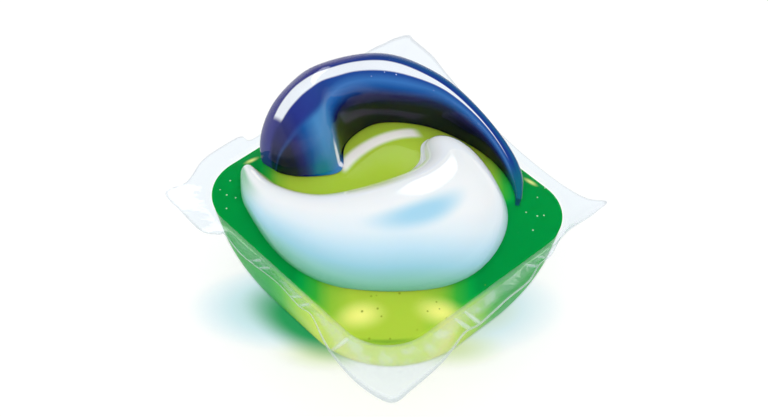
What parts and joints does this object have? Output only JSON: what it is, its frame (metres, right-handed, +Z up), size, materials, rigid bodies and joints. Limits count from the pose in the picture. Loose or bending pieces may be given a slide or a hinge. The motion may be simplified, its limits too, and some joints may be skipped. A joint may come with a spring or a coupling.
{
  "type": "laundry pod",
  "caption": "Laundry pod with a rounded green bowl of gel under clear film, a white swirl and a blue swirl on top, and a crinkled free edge of film.",
  "frame": {"origin": "middle of the flat spot that the bowl rests on", "axes": "+Z up, the seal plane level; +X and +Y along the sides of the square film, with the blue swirl's head towards -X and the drooping film corner at +X -Y"},
  "size_m": [0.0489, 0.0469, 0.0294],
  "materials": {
    "film": "clear soluble film, glossy and finely crinkled at its free edge",
    "green_gel": "translucent gel, emerald at its corners and yellow-green where it is thin",
    "white_gel": "opaque pearly gel, glossy through its film",
    "blue_gel": "deep indigo gel, glossy through its film"
  },
  "bodies": {
    "root": {"lower_film": "film", "middle_film": "film", "upper_film": "film", "green_gel": "green_gel", "white_gel": "white_gel", "blue_gel": "blue_gel"}
  },
  "joints": []
}
